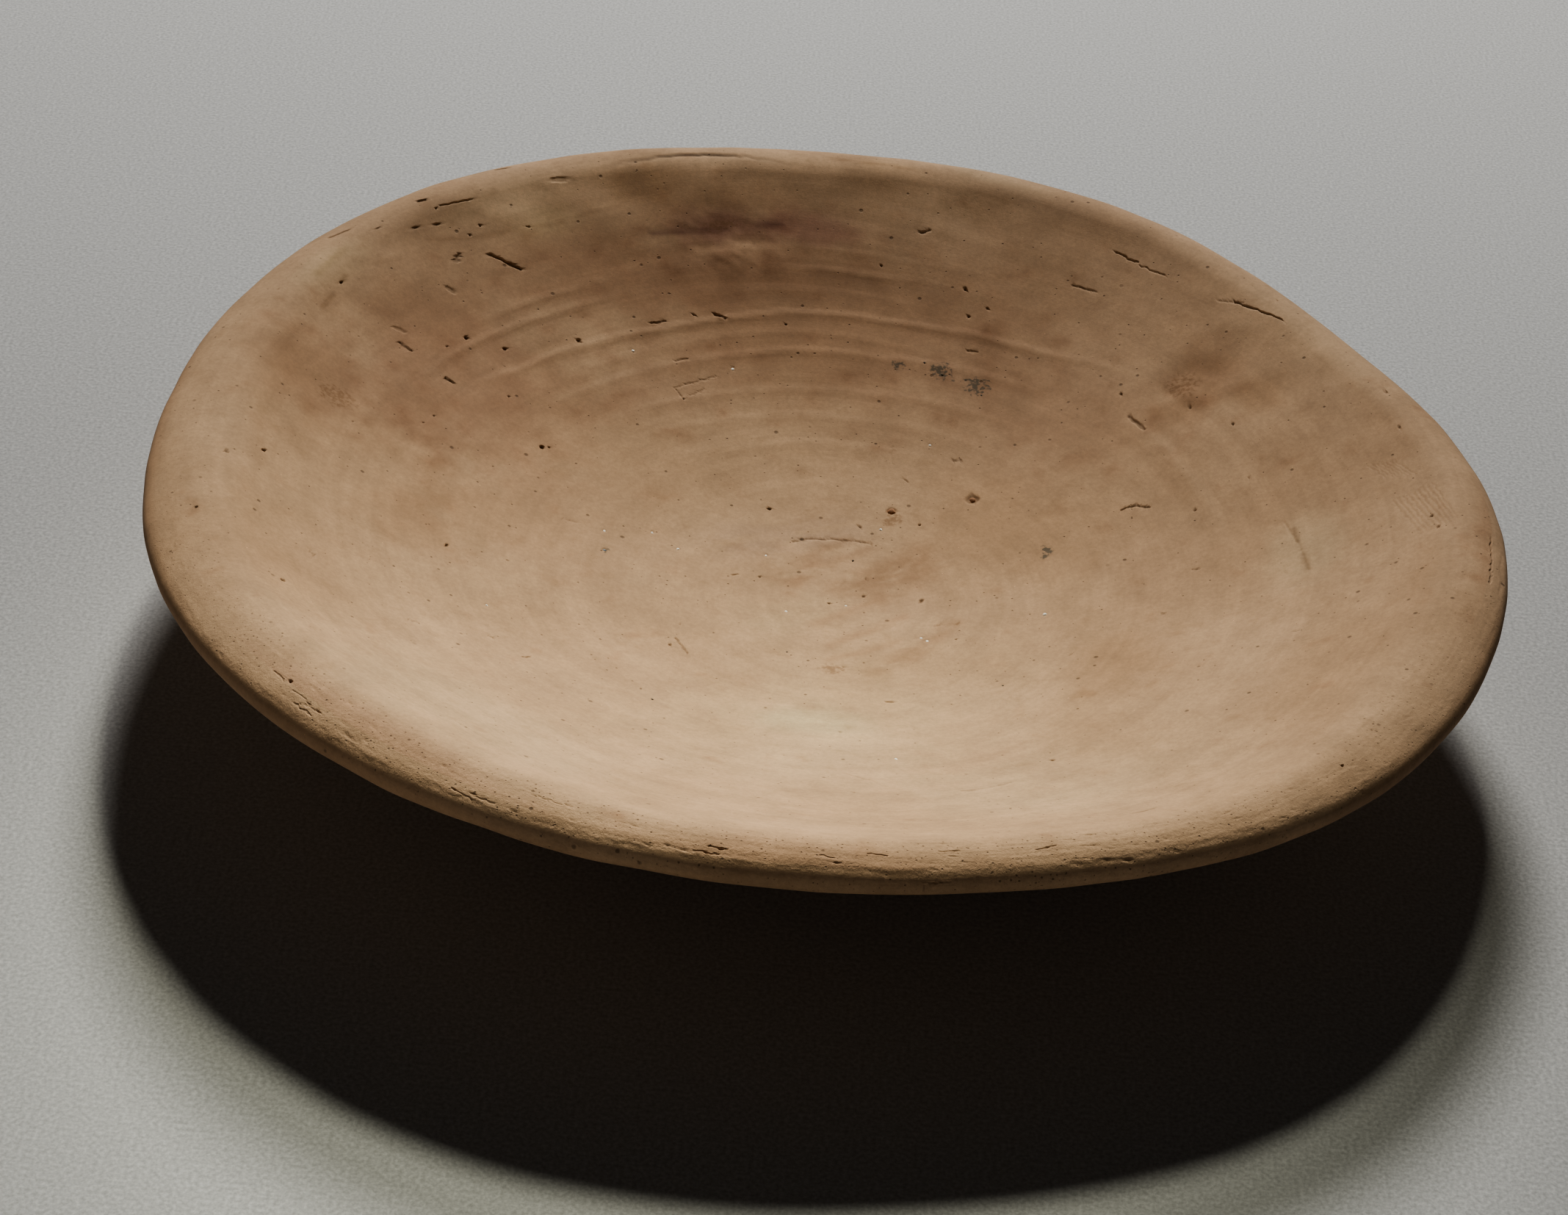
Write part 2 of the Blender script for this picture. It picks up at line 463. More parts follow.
def blank_skin():
    """Corners (x, y, z, along) and triangles of the smooth skin, and the piece of each triangle."""
    corners, faces, owners = [], [], []
    plan = row_plan()
    corners.append(np.array([[0, 0, FLOOR, 0]], float))
    start, before, columns_before = 1, 0, 0
    for piece, part, share, columns in plan:
        angle = np.arange(columns) * 2 * math.pi / columns
        radius, height, along = getattr(Section(angle), part)(share)
        corners.append(np.column_stack([radius * np.cos(angle), radius * np.sin(angle), height, along]))
        if columns_before == 0:
            k = np.arange(columns)
            new = np.column_stack([np.zeros(columns, int), start + k, start + (k + 1) % columns])
            corners[0][0, 3] = along.mean() + radius.mean()
        else:
            new = join_rows(before, start, columns_before, columns)[:, ::-1]
        faces.append(new)
        owners.append(np.full(len(new), piece))
        before, columns_before = start, columns
        start += columns
    last = corners[-1]
    corners.append(np.array([[0, 0, 0, last[:, 3].mean() - np.hypot(last[0, 0], last[0, 1])]]))
    k = np.arange(columns_before)
    new = np.column_stack([before + k, np.full(columns_before, start), before + (k + 1) % columns_before])
    faces.append(new)
    owners.append(np.full(len(new), DISH))
    return np.vstack(corners), np.vstack(faces), np.concatenate(owners)


def split_near(corners, faces, owners, near):
    """Halves each edge whose two ends are marked in near; each face becomes 1, 2, 3 or 4."""
    pairs = np.sort(np.stack([faces, np.roll(faces, -1, axis=1)], axis=2), axis=2)
    keys = pairs[:, :, 0] * len(corners) + pairs[:, :, 1]
    wanted = near[pairs].all(axis=2)
    cut, index = np.unique(keys[wanted], return_inverse=True)
    middle = np.full(faces.shape, -1)
    middle[wanted] = len(corners) + index.ravel()
    ends = np.column_stack([cut // len(corners), cut % len(corners)])
    corners = np.vstack([corners, corners[ends].mean(axis=1)])
    count = wanted.sum(axis=1)
    made, owned = [faces[count == 0]], [owners[count == 0]]

    def take(rows, *triangles):
        for triangle in triangles:
            made.append(np.column_stack(triangle))
            owned.append(owners[rows])

    for k in range(3):
        a, b, c = faces[:, k], faces[:, (k + 1) % 3], faces[:, (k + 2) % 3]
        ab, bc, ca = middle[:, k], middle[:, (k + 1) % 3], middle[:, (k + 2) % 3]
        rows = (count == 1) & (ab >= 0)
        take(rows, (a[rows], ab[rows], c[rows]), (ab[rows], b[rows], c[rows]))
        rows = (count == 2) & (ca < 0)
        take(rows, (ab[rows], b[rows], bc[rows]), (a[rows], ab[rows], bc[rows]), (a[rows], bc[rows], c[rows]))
    rows = count == 3
    a, b, c = faces[rows].T
    ab, bc, ca = middle[rows].T
    take(rows, (a, ab, ca), (ab, b, bc), (ca, bc, c), (ab, bc, ca))
    return corners, np.vstack(made), np.concatenate(owned)


def normals_of(corners, faces):
    """Normal at each corner, weighted by the area of the faces."""
    a, b, c = (corners[faces[:, k], :3] for k in range(3))
    flat = np.cross(b - a, c - a)
    total = np.zeros((len(corners), 3))
    for k in range(3):
        np.add.at(total, faces[:, k], flat)
    return total / np.maximum(np.linalg.norm(total, axis=1), 1e-12)[:, None]


# ==== relief
def at_place(place):
    """x and y of (distance from the axis, angle in degrees)."""
    return place[0] * math.cos(math.radians(place[1])), place[0] * math.sin(math.radians(place[1]))


def from_line(x, y, first, last):
    """Distance of each point from the line between two places."""
    start, end = np.array(at_place(first)), np.array(at_place(last))
    way = end - start
    share = ((x - start[0]) * way[0] + (y - start[1]) * way[1]) / max(way @ way, 1e-9)
    share = np.clip(share, 0, 1)
    return np.hypot(x - start[0] - way[0] * share, y - start[1] - way[1] * share)


def dent(distance, radius, depth):
    """A hole with steep sides and a rounded bottom."""
    return -depth * smooth(radius * 1.15, radius * 0.45, distance)


def swirl_place(x, y):
    """Distance and angle about the middle of the swirl, which only the inner rings share."""
    pull = 1 - smooth(0, SWIRL_REACH, np.hypot(x, y))
    dx, dy = x - SWIRL[0] * pull, y - SWIRL[1] * pull
    return np.hypot(dx, dy), np.arctan2(dy, dx)


def ridge(distance, angle, places, height, width):
    """A ridge that runs through the places, steep on its outer side, and fades at its ends."""
    way = sorted((math.radians(turn), radius) for radius, turn in places)
    turns, radii = np.array(way).T
    line = np.interp(angle, turns, radii)
    fade = smooth(turns[0] - 0.10, turns[0] + 0.25, angle) * smooth(turns[-1] + 0.10, turns[-1] - 0.25, angle)
    away = (distance - line) / width
    return height * fade * np.exp(-np.where(away > 0, away * 1.5, away * 0.45) ** 2)


def broad_dent(x, y, place, reach, depth):
    """A soft round hollow, or a lump where the depth is negative."""
    return -depth * np.exp(-(from_line(x, y, place, place) / reach) ** 2)


def from_path(x, y, places):
    """Distance from a line through several places."""
    return np.min([from_line(x, y, *ends) for ends in zip(places, places[1:])], axis=0)


def hatch_lines():
    """The two ends of each stroke of the rough tool."""
    for (first, last), step, count in HATCHES:
        for number in range(count):
            shift = (number * step[0], number * step[1])
            yield ((first[0] + shift[0], first[1] + shift[1]), (last[0] + shift[0], last[1] + shift[1]))


def hollow_relief(x, y, along):
    """The hand's unevenness, the throwing ridges and the drag between them, on the inside."""
    flat = np.column_stack([x, y, np.zeros_like(x)])
    distance, angle = np.hypot(x, y), np.arctan2(y, x)
    reach, turn = swirl_place(x, y)
    total = Field(SEED).layered(flat / 75, 2) * 0.6 + Field(SEED + 1).layered(flat / 24, 2) * 0.12
    wander = Field(SEED + 2).layered(turned(angle, 4.0, 0.0), 2) * 0.5
    for height, width, places in RIDGES:
        total += ridge(distance + wander, angle, places, height, width)
    back = 0.35 + 0.65 * np.clip(np.sin(angle), 0, 1)
    drag = Field(SEED + 3).layered(turned(turn, 2.0, reach / 5.2), 2) * 0.075
    patchy = smooth(-0.5, 0.6, Field(SEED + 10).at(flat / 40))
    for place, size, depth in DENTS:
        total += broad_dent(x, y, place, size, depth)
    crumpled = Field(SEED + 16).layered(flat / 4.5, 3)
    for place, along_radius, round_axis, depth in ROUGH:
        total += depth * crumpled * patch(x, y, place, along_radius, round_axis)
    return (total + drag * back * (0.4 + 0.6 * patchy)) * smooth(0, 20, along)


def lip_slots():
    """Seeded short slots along the front lip, in the form of GOUGES."""
    draw = np.random.default_rng(SEED + 30)
    slots = []
    for _ in range(LIP_SLOTS):
        first = (draw.uniform(*LIP_SLOT_BAND), draw.uniform(*LIP_SLOT_ANGLES))
        last = (first[0] + draw.uniform(-0.5, 0.6), first[1] + draw.uniform(0.6, 2.0))
        slots.append(((first, last), draw.uniform(0.2, 0.3), draw.uniform(0.12, 0.22)))
    return slots


def small_marks(x, y):
    """Pits, slots, gouges, hatching and the sockets of the grains."""
    total = np.zeros_like(x)
    flat = np.column_stack([x, y, np.zeros_like(x)])
    x = x + Field(SEED + 13).layered(flat / 2.2, 2) * 0.35
    y = y + Field(SEED + 14).layered(flat / 2.2, 2) * 0.35
    for place, radius in PITS:
        total += dent(from_line(x, y, place, place), radius * 0.85, radius)
    total += dent(from_line(x, y, CRATER[0], CRATER[0]), CRATER[1], CRATER_DEPTH)
    for places, half, depth in (*GOUGES, *lip_slots()):
        total += dent(from_path(x, y, places), half, depth)
    for first, last in hatch_lines():
        total += dent(from_line(x, y, first, last), HATCH_HALF_WIDTH, HATCH_DEPTH)
    for places, radius in GRAINS.values():
        for place in places:
            if place != CRATER[0]:
                total += dent(from_line(x, y, place, place), radius * 1.05, radius * SOCKET_SHARE)
    return total


def rim_relief(corners, angle, along):
    """Lumps of the lip, the lines dragged round it, and its sandy tear where it was not smoothed."""
    space = corners[:, :3]
    lumps = Field(SEED + 4).layered(turned(angle, 6.5, along / 20), 2) * 0.32
    front = lip_sand(angle, along)
    lines = Field(SEED + 5).layered(turned(angle, 7.0, along / 1.6), 2) * (0.012 + 0.055 * front)
    sand = Field(SEED + 6).layered(space / 1.3, 2) * 0.03 * front
    crumbs = Field(SEED + 11).layered(turned(angle, 60.0, along / 1.4), 2)
    crumbs = smooth(0.55, 1.0, crumbs) * 0.28 * front
    on_crown = smooth(-26, -8, along) * smooth(26, 6, along)
    return lumps * smooth(-60, -20, along) * smooth(60, 15, along) + lines * on_crown + sand - crumbs


def lip_sand(angle, along):
    """Where the lip was left sandy: along the front and the left, from the crest to the outer crease."""
    front = np.clip(lobe(angle, -122, 48) + 0.75 * lobe(angle, -65, 34) + 0.3 * lobe(angle, -22, 22), 0, 1)
    edge = Field(SEED + 12).layered(turned(angle, 12.0, 0.0), 3) * 2.5
    return front * smooth(7, 1.5, along + edge) * smooth(-16, -11, along)


def seam_relief(angle, along, section):
    """The creases where the coil's edges show, and the torn edge that hangs over at the front."""
    outer = -section.crown * CREASE_TILT
    ragged = Field(SEED + 7).layered(turned(angle, 45.0, 0.0), 4)
    away = along - outer - ragged * 0.8
    front = np.clip(lobe(angle, -105, 52) + 0.3 * lobe(angle, -40, 30), 0, 1)
    torn = smooth(-0.6, 0.35, Field(SEED + 8).layered(turned(angle, 26.0, 0.0), 2))
    crease = -(0.10 * front * torn + 0.14 * lobe(angle, -8, 9)) * np.exp(-(away / 0.5) ** 2)
    step = 0.16 * front * (0.3 + 0.7 * torn) * smooth(-0.6, 0.5, away) * smooth(8, 0.5, away)
    return crease + step - 0.55 * fold_line(angle, along)


def fold_line(angle, along):
    """1 along the dark fold at the back of the crest, where the coil was pressed down."""
    ragged = Field(SEED + 15).layered(turned(angle, 40.0, 0.0), 3)
    middle = FOLD_ALONG + ragged * 1.1 + 2.4 * ((turn_from(angle, FOLD_ANGLE) / 8.0) ** 2)
    return lobe(angle, FOLD_ANGLE, FOLD_REACH) * np.exp(-((along - middle) / 0.75) ** 2)


def relief(corners, marks):
    """How far each corner moves out along its normal."""
    x, y, z, along = corners.T
    angle = np.arctan2(y, x)
    total = marks + rim_relief(corners, angle, along) + seam_relief(angle, along, Section(angle))
    inside = along > -4
    total[inside] += hollow_relief(x[inside], y[inside], along[inside])
    lumps = Field(SEED + 9).layered(corners[:, :3] / 45, 3) * 0.6
    trimmed = Field(SEED + 17).layered(turned(angle, 2.5, along / 5.0), 3) * 0.16
    under = smooth(-30, -60, along) * (lumps + trimmed)
    return total + under * smooth(0.3, 3.0, z)


def refine(corners, faces, owners):
    """Makes the mesh finer where small marks are, and along the sandy lip."""
    angle = np.arctan2(corners[:, 1], corners[:, 0])
    lip = (lip_sand(angle, corners[:, 3]) > 0.25) & (corners[:, 3] > -15)
    corners, faces, owners = split_near(corners, faces, owners, lip)
    spots = [((place, place), radius) for place, radius in PITS + (CRATER,)]
    spots += [(places, half) for places, half, depth in (*GOUGES, *lip_slots())]
    spots += [(ends, 0.3) for ends in hatch_lines()]
    spots += [((place, place), radius) for places, radius in GRAINS.values() for place in places]
    for level in range(2):
        near = np.zeros(len(corners), bool)
        for places, radius in spots:
            near |= from_path(corners[:, 0], corners[:, 1], places) < radius + 1.1 - 0.5 * level
        near &= corners[:, 3] > MARKS_END
        corners, faces, owners = split_near(corners, faces, owners, near)
    return corners, faces, owners


# ==== colour left by hand, water and fire
def patch(x, y, place, along_radius, round_axis):
    """1 in the middle of an oval patch on the inside, falling off smoothly."""
    turn = math.radians(place[1])
    dx, dy = x - at_place(place)[0], y - at_place(place)[1]
    out = dx * math.cos(turn) + dy * math.sin(turn)
    side = dy * math.cos(turn) - dx * math.sin(turn)
    return np.exp(-((out / along_radius) ** 2 + (side / round_axis) ** 2))


def tint(corners):
    """Colour of the clay at each corner, before the finest mottling."""
    x, y, z, along = corners.T
    cloud = Field(SEED + 20).layered(corners[:, :3] / 48, 3)
    colour = CLAY * (1 + cloud[:, None] * (0.07, 0.085, 0.10))
    ragged = Field(SEED + 21).layered(corners[:, :3] / 9, 3)
    inside = (along > -6)[:, None]
    for place, along_radius, round_axis, factor in STAINS:
        share = patch(x, y, place, along_radius, round_axis)
        share = smooth(0.08, 0.9, share + ragged * 0.2)[:, None]
        colour = np.where(inside, colour * (1 + (np.array(factor) - 1) * share), colour)
    streaky = Field(SEED + 22).layered(np.column_stack([x + y, (y - 0.4 * x) * 4, z]) / 16, 3)
    for ends, half, factor in SMEARS:
        share = np.exp(-(from_line(x, y, *ends) / half) ** 2) * smooth(-0.9, 0.2, streaky) * SMEAR_SHARE
        colour = np.where(inside, colour * (1 + (np.array(factor) - 1) * share[:, None]), colour)
    outside = smooth(-10, -15, along)[:, None]
    colour = colour * (1 - outside * (0.06, 0.10, 0.12))
    return colour * (1 - 0.7 * fold_line(np.arctan2(y, x), along))[:, None]


def speck_masks(corners):
    """Shares of dark specks, brown specks and lip sand at each corner."""
    x, y = corners[:, 0], corners[:, 1]
    along = corners[:, 3]
    dark = sum(patch(x, y, *spot) for spot in DARK_SPECKS) * (along > 0)
    brown = sum(patch(x, y, *spot) for spot in BROWN_SPECKS) * (along > 0)
    sand = lip_sand(np.arctan2(y, x), along)
    return np.clip(np.column_stack([dark, brown, sand, np.ones_like(x)]), 0, 1)


# ==== pieces
def new_piece(name, corners, faces, normals, layers, material, node):
    """Makes one mesh from millimetres, and declares what it rides on and stands for."""
    mesh = bpy.data.meshes.new(name)
    mesh.from_pydata((corners * MM).tolist(), [], faces.tolist())
    mesh.polygons.foreach_set("use_smooth", np.ones(len(faces), bool))
    for layer, (kind, field, values) in layers.items():
        attribute = mesh.attributes.new(layer, kind, "POINT")
        attribute.data.foreach_set(field, np.ascontiguousarray(values, np.float32).ravel())
    mesh.normals_split_custom_set_from_vertices(normals.tolist())
    mesh.materials.append(material)
    piece = bpy.data.objects.new(name, mesh)
    bpy.context.scene.collection.objects.link(piece)
    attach(piece, "root")
    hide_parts(node)
    return piece


def zip_rings(first, first_angle, second, second_angle):
    """Triangles between two rings of corners, each sorted by angle, with any number in each."""
    a, b, faces = 0, 0, []
    while a < len(first) or b < len(second):
        next_a = first_angle[a + 1] if a + 1 < len(first) else first_angle[0] + 2 * math.pi
        next_b = second_angle[b + 1] if b + 1 < len(second) else second_angle[0] + 2 * math.pi
        here_a, here_b = first[a % len(first)], second[b % len(second)]
        if b >= len(second) or (a < len(first) and next_a <= next_b):
            faces.append((here_a, first[(a + 1) % len(first)], here_b))
            a += 1
        else:
            faces.append((here_a, second[(b + 1) % len(second)], here_b))
            b += 1
    return np.array(faces)


def ring_order(corners, members):
    """The members of a ring sorted by their angle round the axis, and those angles."""
    angle = np.arctan2(corners[members, 1], corners[members, 0])
    order = np.argsort(angle)
    return members[order], angle[order]


def seat_faces(corners, faces, owners):
    """Corners of the groove under the coil, and its triangles facing up."""
    shared = np.intersect1d(faces[owners == COIL], faces[owners == DISH])
    outer, outer_angle = ring_order(corners, shared[corners[shared, 3] < 0])
    inner, inner_angle = ring_order(corners, shared[corners[shared, 3] > 0])
    columns = COLUMNS // 2
    angle = (np.arange(columns) + 0.5) * 2 * math.pi / columns - math.pi
    rings, before, before_angle = [], outer, outer_angle
    triangles = []
    start = len(corners)
    for share in (0.25, 0.5, 0.75):
        ends = [np.column_stack([np.interp(angle, ring_angle, corners[ring, k], period=2 * math.pi)
                                 for k in range(4)])
                for ring, ring_angle in ((outer, outer_angle), (inner, inner_angle))]
        ring = ends[0] * (1 - share) + ends[1] * share
        ring[:, 2] -= SEAT_DEPTH * 4 * share * (1 - share)
        rings.append(ring)
        members = start + np.arange(columns)
        start += columns
        triangles.append(zip_rings(before, before_angle, members, angle))
        before, before_angle = members, angle
    triangles.append(zip_rings(before, before_angle, inner, inner_angle))
    return np.vstack(rings), np.vstack(triangles)


def part_skin(corners, faces, owners, normals, colour, masks, turn, clay, rim_clay):
    """Parts the skin along the seam, closes both pieces with the groove, and makes them."""
    extra, seat = seat_faces(corners, faces, owners)
    count = len(extra)
    corners = np.vstack([corners, extra])
    colour = np.vstack([colour, np.tile(CLAY, (count, 1))])
    masks = np.vstack([masks, np.zeros((count, 4))])
    turn = np.vstack([turn, np.zeros((count, 3))])
    seat_normals = normals_of(corners, seat)[-count:]
    for owner, name, node, slot, material, way in (
            (DISH, "dish_skin", "dish", "clay", clay, 1),
            (COIL, "rim_skin", "rim_coil", "rim_clay", rim_clay, -1)):
        own = np.vstack([faces[owners == owner], seat[:, ::way]])
        full_normals = np.vstack([normals, seat_normals * way])
        used, own = np.unique(own, return_inverse=True)
        own = own.reshape(-1, 3)
        layers = {
            "tint": ("FLOAT_COLOR", "color", np.column_stack([colour[used], np.ones(len(used))])),
            "masks": ("FLOAT_COLOR", "color", masks[used]),
            "turn": ("FLOAT_VECTOR", "vector", turn[used]),
        }
        new_piece(name, corners[used, :3], own, full_normals[used], layers, material, node)


# ==== materials
class Graph:
    """Short way to build a material's nodes."""

    def __init__(self, name):
        self.material = bpy.data.materials.new(name)
        self.material.use_nodes = True
        self.tree = self.material.node_tree
        self.shader = self.tree.nodes["Principled BSDF"]

    def put(self, node, socket, value):
        """Links a socket or sets a value."""
        if isinstance(value, bpy.types.NodeSocket):
            self.tree.links.new(value, node.inputs[socket])
        else:
            node.inputs[socket].default_value = value

    def node(self, kind, inputs=(), out=0, **settings):
        """Adds a node and gives one of its outputs."""
        node = self.tree.nodes.new("ShaderNode" + kind)
        for key, value in settings.items():
            setattr(node, key, value)
        for socket, value in dict(inputs).items():
            self.put(node, socket, value)
        return node.outputs[out]

    def attribute(self, name, out):
        return self.node("Attribute", attribute_name=name, out=out)

    def math(self, operation, *values):
        """One sum, product or other operation on numbers."""
        return self.node("Math", dict(enumerate(values)), operation=operation)

    def scaled(self, vector, factor):
        """A vector or colour times a factor."""
        return self.node("VectorMath", {0: vector, 3: factor}, operation="SCALE")

    def noise(self, vector, scale, detail=3.0, roughness=0.55):
        return self.node("TexNoise", {"Vector": vector, "Scale": scale, "Detail": detail,
                                      "Roughness": roughness})

    def spots(self, place, scale, radius, chance):
        """1 inside round spots scattered at random; chance is the share of cells that have one."""
        cells = self.node("TexVoronoi", {"Vector": place, "Scale": scale}).node
        pick = self.node("SeparateColor", {0: cells.outputs["Color"]})
        chosen = self.spread(pick, chance, chance + 0.01, 1.0, 0.0)
        reach = self.spread(pick, 0.0, chance, 0.35 * radius * scale, 1.1 * radius * scale)
        inside = self.spread(self.math("DIVIDE", cells.outputs["Distance"], reach), 0.5, 1.0, 1.0, 0.0)
        return self.math("MULTIPLY", inside, chosen)

    def mixed(self, share, first, second):
        """First where share is 0, second where it is 1."""
        return self.node("Mix", {0: share, 6: first, 7: second}, out=2, data_type="RGBA")

    def spread(self, value, low, high, new_low, new_high):
        """Maps low to new_low and high to new_high, and holds the ends."""
        return self.node("MapRange", {0: value, 1: low, 2: high, 3: new_low, 4: new_high})


def clay_pores(graph, place, sand):
    """1 inside burnt-out pores: small and large ones all over, and more on the sandy lip."""
    small = graph.spots(place, 0.40, 0.34, 0.45)
    large = graph.spots(place, 0.19, 0.75, 0.34)
    on_lip = graph.math("MULTIPLY", graph.spots(place, 0.85, 0.30, 0.60), sand)
    return graph.math("MAXIMUM", graph.math("MAXIMUM", small, large), on_lip)


def clay_shade(graph, place, turn, pores):
    """Factor for the colour: mottling, flecks, drag round the axis, dark pores and pale grit."""
    mottle = graph.spread(graph.noise(place, 0.07, 5.0, 0.66), 0.3, 0.7, 0.90, 1.10)
    fleck = graph.spread(graph.noise(place, 0.8, 4.0, 0.75), 0.3, 0.7, 0.91, 1.09)
    streak = graph.spread(graph.noise(turn, 0.30, 4.0, 0.62), 0.3, 0.7, 0.95, 1.05)
    shade = graph.math("MULTIPLY", graph.math("MULTIPLY", mottle, fleck), streak)
    shade = graph.math("MULTIPLY", shade, graph.spread(pores, 0.0, 1.0, 1.0, 0.54))
    grit = graph.spots(place, 0.24, 0.22, 0.35)
    return graph.math("ADD", shade, graph.math("MULTIPLY", grit, 0.5))


def clay_colour(graph, place, shade, dark_mask, brown_mask):
    """The tint of the skin with stains and with crowds of brown and dark specks."""
    colour = graph.scaled(graph.attribute("tint", 0), shade)
    speck = graph.noise(place, 0.75, 2.0, 0.5)
    dark = graph.spread(graph.math("MULTIPLY", dark_mask, speck), 0.38, 0.52, 0.0, 0.75)
    brown = graph.spread(graph.math("MULTIPLY", brown_mask, speck), 0.34, 0.54, 0.0, 0.5)
    stained = graph.spread(graph.noise(place, 0.16, 5.0, 0.7), 0.52, 0.72, 0.0, 0.22)
    colour = graph.mixed(stained, colour, (0.33, 0.21, 0.12, 1.0))
    colour = graph.mixed(brown, colour, (0.22, 0.12, 0.06, 1.0))
    return graph.mixed(dark, colour, (0.10, 0.095, 0.075, 1.0))


def clay_bump(graph, place, turn, pores, sand):
    """Grain, fine drag lines, a coarser sandy lip, and pores, as heights in millimetres."""
    fine = graph.math("MULTIPLY", graph.noise(place, 1.6, 3.0, 0.65), 0.05)
    lines = graph.math("MULTIPLY", graph.noise(turn, 1.0, 3.0, 0.6), 0.03)
    coarse = graph.math("MULTIPLY", graph.noise(place, 1.0, 4.0, 0.7), 0.26)
    height = graph.math("ADD", graph.math("ADD", fine, lines), graph.math("MULTIPLY", coarse, sand))
    height = graph.math("SUBTRACT", height, graph.math("MULTIPLY", pores, 0.12))
    return graph.node("Bump", {"Strength": 1.0, "Distance": MM, "Height": height})


def clay_material(name):
    """Matt fired clay: mottled, dragged round the axis, with grit, burnt-out pores and a sandy lip."""
    graph = Graph(name)
    place = graph.scaled(graph.node("TexCoord", out=3), 1 / MM)
    turn = graph.attribute("turn", 1)
    masks = graph.attribute("masks", 0)
    dark_mask, brown_mask, sand = (graph.node("SeparateColor", {0: masks}, out=k) for k in range(3))
    pores = clay_pores(graph, place, sand)
    shade = clay_shade(graph, place, turn, pores)
    graph.put(graph.shader, "Base Color", clay_colour(graph, place, shade, dark_mask, brown_mask))
    graph.put(graph.shader, "Normal", clay_bump(graph, place, turn, pores, sand))
    graph.shader.inputs["Roughness"].default_value = 0.88
    graph.shader.inputs["Specular IOR Level"].default_value = 0.3
    return graph.material


def plain_material(name, colour, roughness):
    """A mottled material, for the grains and the floor."""
    graph = Graph(name)
    place = graph.scaled(graph.node("TexCoord", out=3), 1 / MM)
    mottle = graph.spread(graph.noise(place, 0.9, 3.0, 0.6), 0.3, 0.7, 0.8, 1.2)
    rgb = graph.node("CombineXYZ", {0: colour[0], 1: colour[1], 2: colour[2]})
    graph.put(graph.shader, "Base Color", graph.scaled(rgb, mottle))
    graph.shader.inputs["Roughness"].default_value = roughness
    return graph.material


# ==== stage
TARGET = Vector((-7.1, -28.6, 30.0)) * MM
EYE = Vector((-7.1, -740.3, 521.5)) * MM
ROLL = math.radians(4.83)
LENS = 70.82
# Where the key light points, and how far away it is, in metres.
KEY_AIM = Vector((-24, -136, 30)) * MM
KEY_DISTANCE = 1.8
FLOOR_HALF_SIZE = 6.0
FLOOR_GAP = 0.0002


def add_camera():
    """The camera at the photograph's viewing angle."""
    camera = bpy.data.objects.new("camera", bpy.data.cameras.new("camera"))
    bpy.context.scene.collection.objects.link(camera)
    camera.data.sensor_width = 36.0
    camera.data.lens = LENS
    camera.data.clip_start = 0.01
    camera.data.clip_end = 50.0
    look = (TARGET - EYE).to_track_quat("-Z", "Y").to_matrix().to_4x4()
    camera.matrix_world = Matrix.Translation(EYE) @ look @ Matrix.Rotation(ROLL, 4, "Z")
    bpy.context.scene.camera = camera


def way_to(azimuth, elevation):
    """Unit vector towards a light, from angles in degrees."""
    a, e = math.radians(azimuth), math.radians(elevation)
    return Vector((math.cos(a) * math.cos(e), math.sin(a) * math.cos(e), math.sin(e)))


def add_light(name, azimuth, elevation, distance, size, power, colour):
    """A round soft light that faces the foot of the dish."""
    light = bpy.data.objects.new(name, bpy.data.lights.new(name, "AREA"))
    bpy.context.scene.collection.objects.link(light)
    light.data.shape = "DISK"
    light.data.size = size
    light.data.energy = power
    light.data.color = colour
    towards = way_to(azimuth, elevation)
    light.location = towards * distance
    light.rotation_euler = towards.to_track_quat("Z", "Y").to_euler()


def add_key(azimuth, elevation):
    """A soft spot from behind that favours the near half of the dish."""
    light = bpy.data.objects.new("key", bpy.data.lights.new("key", "SPOT"))
    bpy.context.scene.collection.objects.link(light)
    light.data.energy = 86.0
    light.data.color = (1.0, 0.995, 0.83)
    light.data.shadow_soft_size = 0.12
    light.data.spot_size = math.radians(13.8)
    light.data.spot_blend = 1.0
    towards = way_to(azimuth, elevation)
    light.location = KEY_AIM + towards * KEY_DISTANCE
    light.rotation_euler = towards.to_track_quat("Z", "Y").to_euler()


def add_floor():
    """A plain pale floor just under the foot."""
    mesh = bpy.data.meshes.new("floor")
    half = FLOOR_HALF_SIZE
    mesh.from_pydata([(-half, -half, 0), (half, -half, 0), (half, half, 0), (-half, half, 0)], [],
                     [(0, 1, 2, 3)])
    floor = bpy.data.objects.new("floor", mesh)
    floor.location.z = -FLOOR_GAP
    bpy.context.scene.collection.objects.link(floor)
    mesh.materials.append(plain_material("floor_paint", (0.55, 0.55, 0.54), 0.8))


def add_world():
    """A very weak even light from all sides."""
    world = bpy.data.worlds.new("studio")
    world.use_nodes = True
    background = world.node_tree.nodes["Background"]
    background.inputs["Color"].default_value = (1.0, 1.0, 1.0, 1.0)
    background.inputs["Strength"].default_value = 0.02
    bpy.context.scene.world = world


# ==== grains
def surface_place(place, corners, normals):
    """The corner of the skin's inside nearest to a place, and its normal."""
    x, y = at_place(place)
    away = np.hypot(corners[:, 0] - x, corners[:, 1] - y) + np.where(corners[:, 3] > 0, 0, 1000)
    nearest = np.argmin(away)
    return corners[nearest, :3], normals[nearest]


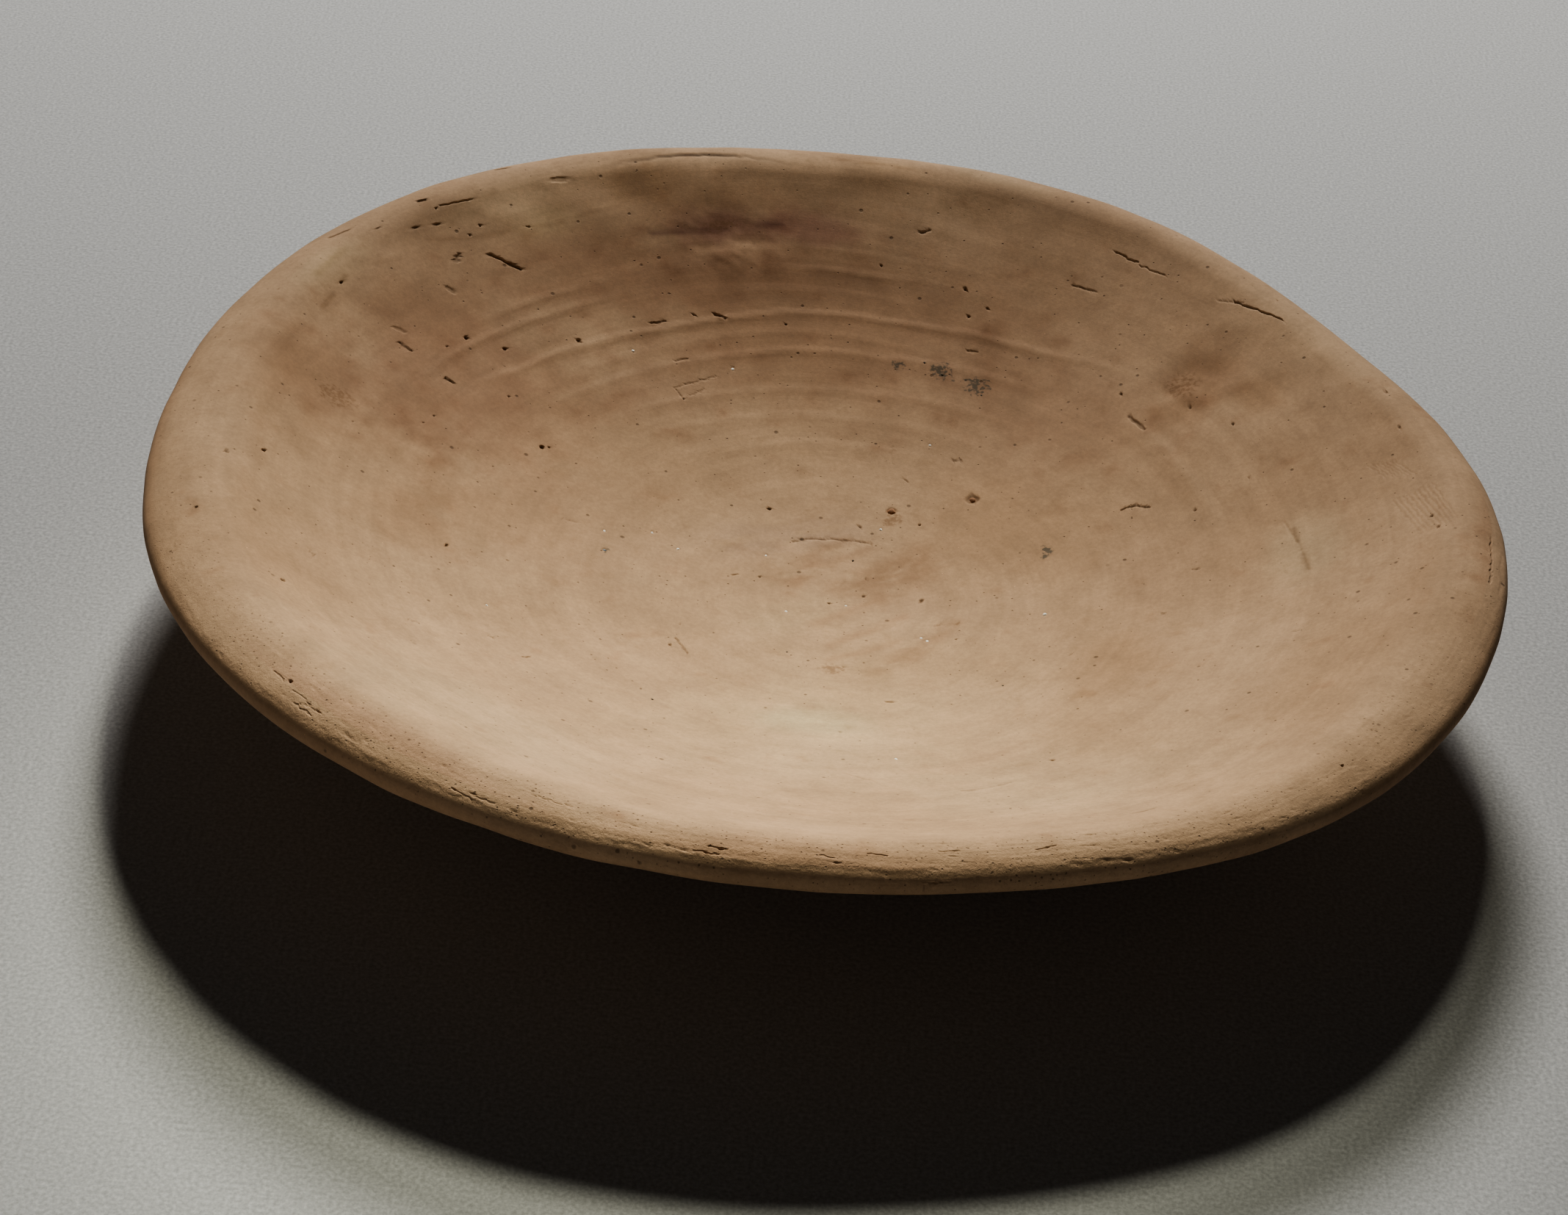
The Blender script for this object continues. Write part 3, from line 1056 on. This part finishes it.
def pebble(dice, radius, middle):
    """Corners and faces of one small broken grain."""
    shape = bmesh.new()
    bmesh.ops.create_icosphere(shape, subdivisions=2, radius=1.0)
    shape.verts.index_update()
    corners = np.array([corner.co for corner in shape.verts])
    faces = np.array([[corner.index for corner in face.verts] for face in shape.faces])
    shape.free()
    cuts = dice.normal(size=(9, 3))
    cuts /= np.linalg.norm(cuts, axis=1)[:, None]
    for cut in cuts:
        over = np.maximum(corners @ cut - dice.uniform(0.62, 0.85), 0)
        corners -= over[:, None] * cut
    return corners * radius * dice.uniform(0.8, 1.15, 3) + middle, faces


def build_grains(corners, normals):
    """One piece for each of the part's four kinds of grain."""
    looks = {
        "pale_grit": ("pale_grain", plain_material("pale_grain", (0.96, 0.94, 0.87), 0.5)),
        "dark_grit": ("dark_grain", plain_material("dark_grain", (0.10, 0.085, 0.06), 0.6)),
        "blue_grey_grit": ("grey_grain", plain_material("grey_grain", (0.20, 0.23, 0.26), 0.55)),
        "brown_grog": ("grog", plain_material("grog", (0.38, 0.21, 0.12), 0.85)),
    }
    dice = np.random.default_rng(SEED)
    for node, (places, radius) in GRAINS.items():
        all_corners, all_faces, count = [], [], 0
        for place in places:
            point, out = surface_place(place, corners, normals)
            depth = radius * (GRAIN_SUNK - SOCKET_SHARE)
            made, faces = pebble(dice, radius * dice.uniform(0.85, 1.1), point - out * depth)
            all_corners.append(made)
            all_faces.append(faces + count)
            count += len(made)
        slot, material = looks[node]
        mesh_corners, mesh_faces = np.vstack(all_corners), np.vstack(all_faces)
        new_piece(node + "_skin", mesh_corners, mesh_faces, normals_of(mesh_corners, mesh_faces), {},
                  material, node)


# ==== build
def build_dish():
    """The skin of the dish and of its rim coil, and the grains in it."""
    corners, faces, owners = refine(*blank_skin())
    marks = small_marks(corners[:, 0], corners[:, 1]) * (corners[:, 3] > MARKS_END)
    corners[:, :3] += normals_of(corners, faces) * relief(corners, marks)[:, None]
    normals = normals_of(corners, faces)
    reach, angle = swirl_place(corners[:, 0], corners[:, 1])
    turn = turned(angle, 2.5, reach)
    dirt = 1 - MARK_DIRT * smooth(*DIRT_DEPTHS, marks)[:, None]
    part_skin(corners, faces, owners, normals, tint(corners) * dirt, speck_masks(corners), turn,
              clay_material("fired_clay"), clay_material("fired_rim_clay"))
    build_grains(corners, normals)


build_dish()
add_floor()
add_world()
add_camera()
add_key(azimuth=85.4, elevation=57.0)
add_light("broad_back", azimuth=92.0, elevation=46.0, distance=2.2, size=0.5, power=31.0,
          colour=(1.0, 0.985, 0.96))
add_light("front_fill", azimuth=-120.0, elevation=13.0, distance=2.5, size=0.8, power=3.6,
          colour=(1.0, 0.92, 0.84))
bpy.context.scene.view_settings.view_transform = "AgX"
bpy.context.scene.view_settings.look = "AgX - High Contrast"
